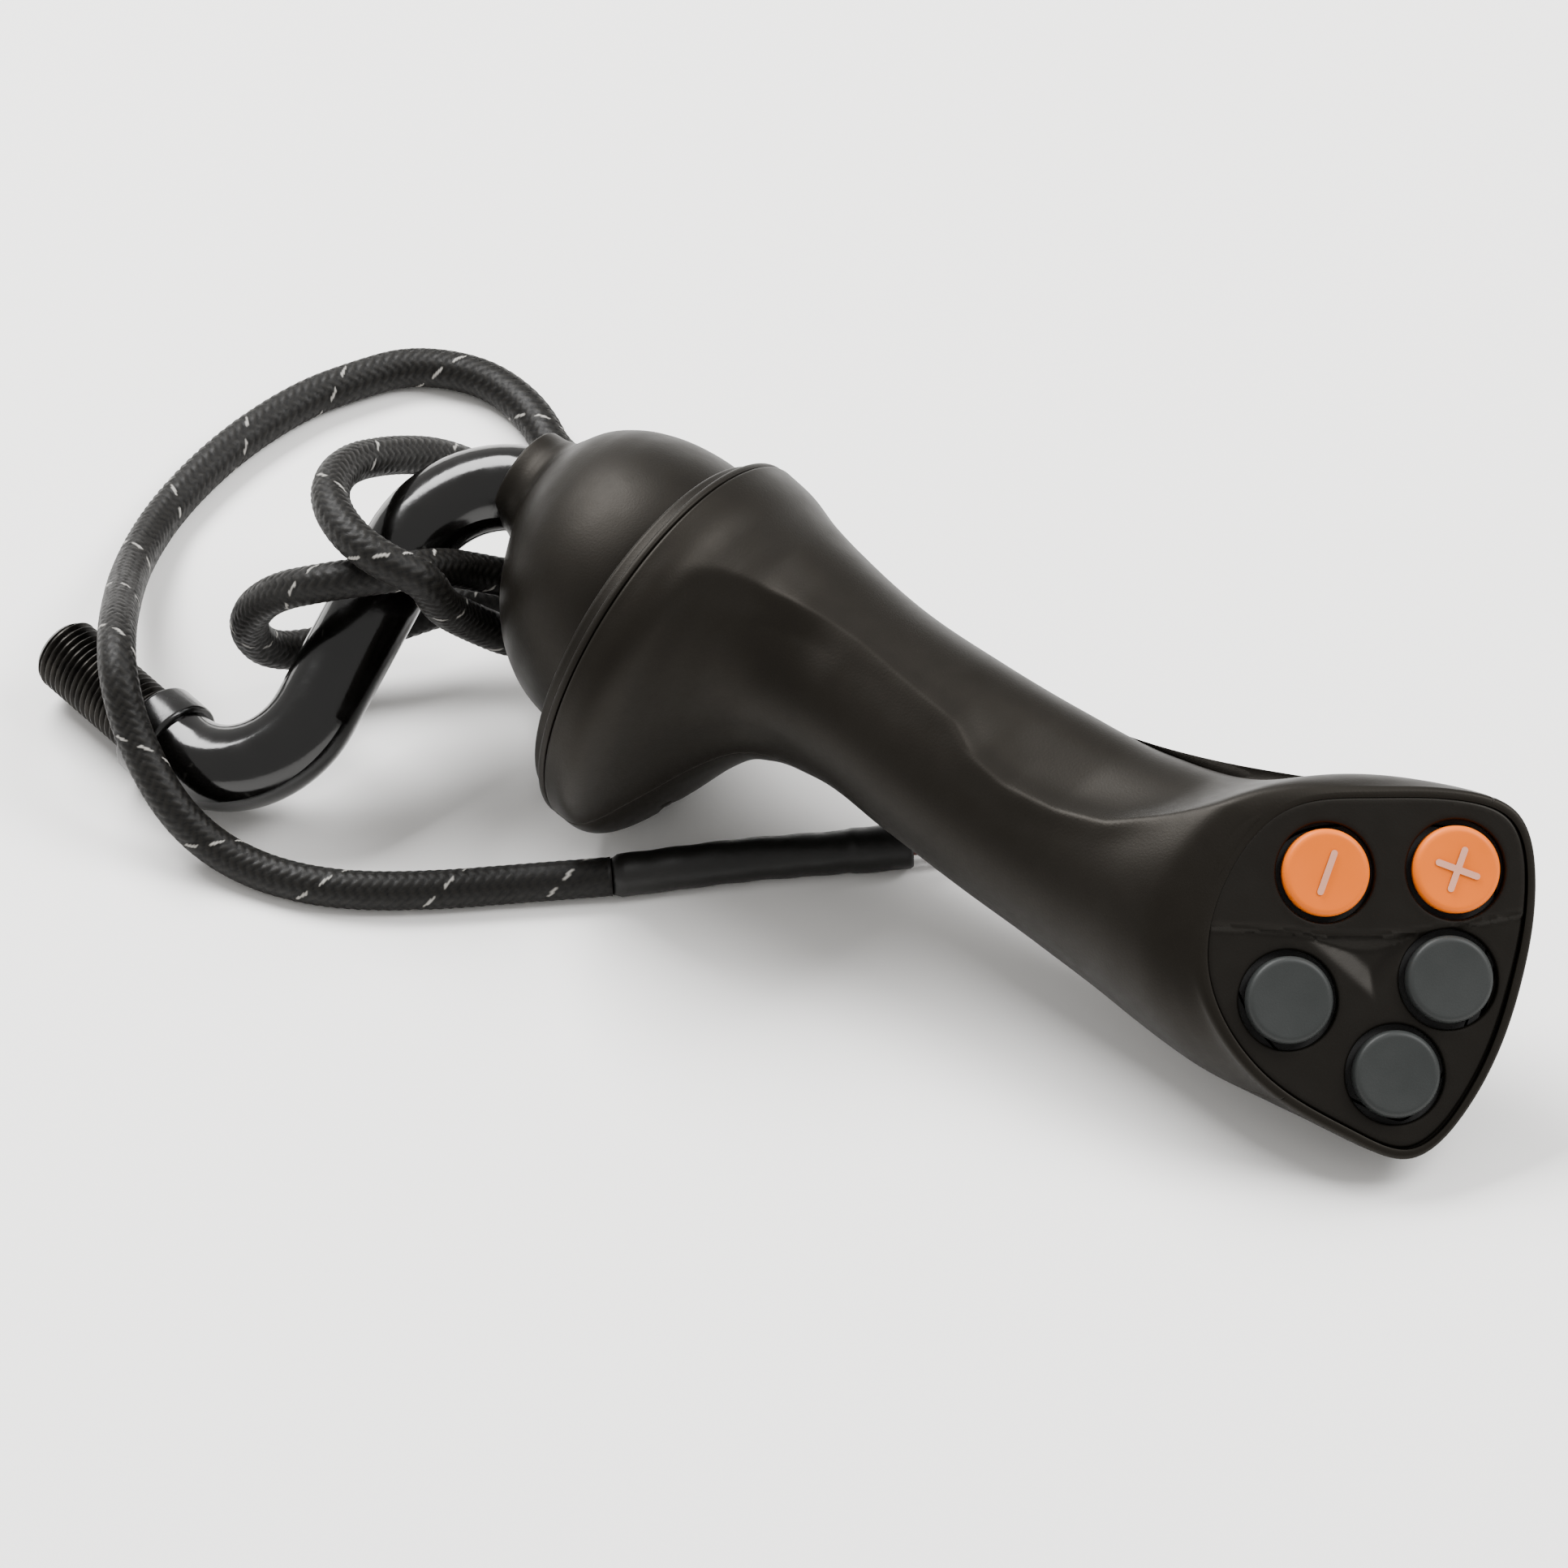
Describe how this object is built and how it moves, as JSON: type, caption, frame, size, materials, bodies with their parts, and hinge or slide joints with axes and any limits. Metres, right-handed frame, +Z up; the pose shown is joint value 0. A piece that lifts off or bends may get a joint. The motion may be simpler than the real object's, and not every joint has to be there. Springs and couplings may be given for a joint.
{
  "type": "control lever grip",
  "caption": "Hand grip with a flanged palm rest and a push-button face, on an S-bent lever with a threaded stud, with a braided cable.",
  "frame": {"origin": "middle of the footprint of the rigid part, on the surface it lies on", "axes": "+X from the stud end to the button head, +Z up, part lying on its side"},
  "size_m": [0.2397, 0.1861, 0.0658],
  "materials": {
    "grip_plastic": "fine matte moulded texture",
    "base_plastic": "satin moulded",
    "face_plastic": "satin moulded",
    "lever_paint": "gloss black powder coat",
    "collar_paint": "gloss black powder coat",
    "stud_steel": "black oxide",
    "socket_aluminium": "turned",
    "screw_steel": "zinc plated",
    "insert_brass": "knurled",
    "seal_rubber": "matte",
    "board_laminate": "solder mask",
    "switch_plastic": "moulded",
    "orange_caps": "satin translucent",
    "grey_caps": "satin moulded",
    "mark_print": "printed",
    "plunger_plastic": "moulded",
    "cable_braid": "braided monofilament sleeve",
    "harness_sheath": "satin",
    "shrink_tube": "shrink tubing",
    "green_insulation": "extruded",
    "brown_insulation": "extruded",
    "white_insulation": "extruded",
    "black_insulation": "extruded",
    "ferrule_tin": "tin plated"
  },
  "bodies": {
    "grip": {"base_cap": "base_plastic", "black_ferrule": "ferrule_tin", "black_lead": "black_insulation", "board_connector": "switch_plastic", "brown_ferrule": "ferrule_tin", "brown_lead": "brown_insulation", "button_face": "face_plastic", "cable_grommet": "seal_rubber", "circuit_board": "board_laminate", "clamp_screws": "screw_steel", "control_cable": "cable_braid", "face_gasket": "seal_rubber", "flange_ring": "base_plastic", "front_shell": "grip_plastic", "green_ferrule": "ferrule_tin", "green_lead": "green_insulation", "inner_harness": "harness_sheath", "left_switch": "switch_plastic", "lever_rod": "lever_paint", "lever_socket": "socket_aluminium", "lower_switch": "switch_plastic", "minus_switch": "switch_plastic", "plus_switch": "switch_plastic", "rear_shell": "grip_plastic", "right_switch": "switch_plastic", "seal_mat": "seal_rubber", "shell_screws": "screw_steel", "shrink_sleeve": "shrink_tube", "stud_collar": "collar_paint", "threaded_inserts": "insert_brass", "threaded_stud": "stud_steel", "white_ferrule": "ferrule_tin", "white_lead": "white_insulation"},
    "minus_key": {"minus_button": "orange_caps", "minus_plunger": "plunger_plastic", "minus_mark": "mark_print"},
    "plus_key": {"plus_button": "orange_caps", "plus_plunger": "plunger_plastic", "plus_mark": "mark_print"},
    "left_key": {"left_button": "grey_caps", "left_plunger": "plunger_plastic"},
    "right_key": {"right_button": "grey_caps", "right_plunger": "plunger_plastic"},
    "lower_key": {"lower_button": "grey_caps", "lower_plunger": "plunger_plastic"}
  },
  "joints": [
    {"name": "minus_press", "type": "slide", "parent": "grip", "child": "minus_key", "axis": [-0.1672, 0.6947, -0.6996], "range_m": [0, 0.001], "stiffness_N_per_m": 800},
    {"name": "plus_press", "type": "slide", "parent": "grip", "child": "plus_key", "axis": [-0.1672, 0.6947, -0.6996], "range_m": [0, 0.001], "stiffness_N_per_m": 800},
    {"name": "left_press", "type": "slide", "parent": "grip", "child": "left_key", "axis": [-0.1672, 0.6947, -0.6996], "range_m": [0, 0.001], "stiffness_N_per_m": 800},
    {"name": "right_press", "type": "slide", "parent": "grip", "child": "right_key", "axis": [-0.1672, 0.6947, -0.6996], "range_m": [0, 0.001], "stiffness_N_per_m": 800},
    {"name": "lower_press", "type": "slide", "parent": "grip", "child": "lower_key", "axis": [-0.1672, 0.6947, -0.6996], "range_m": [0, 0.001], "stiffness_N_per_m": 800}
  ]
}
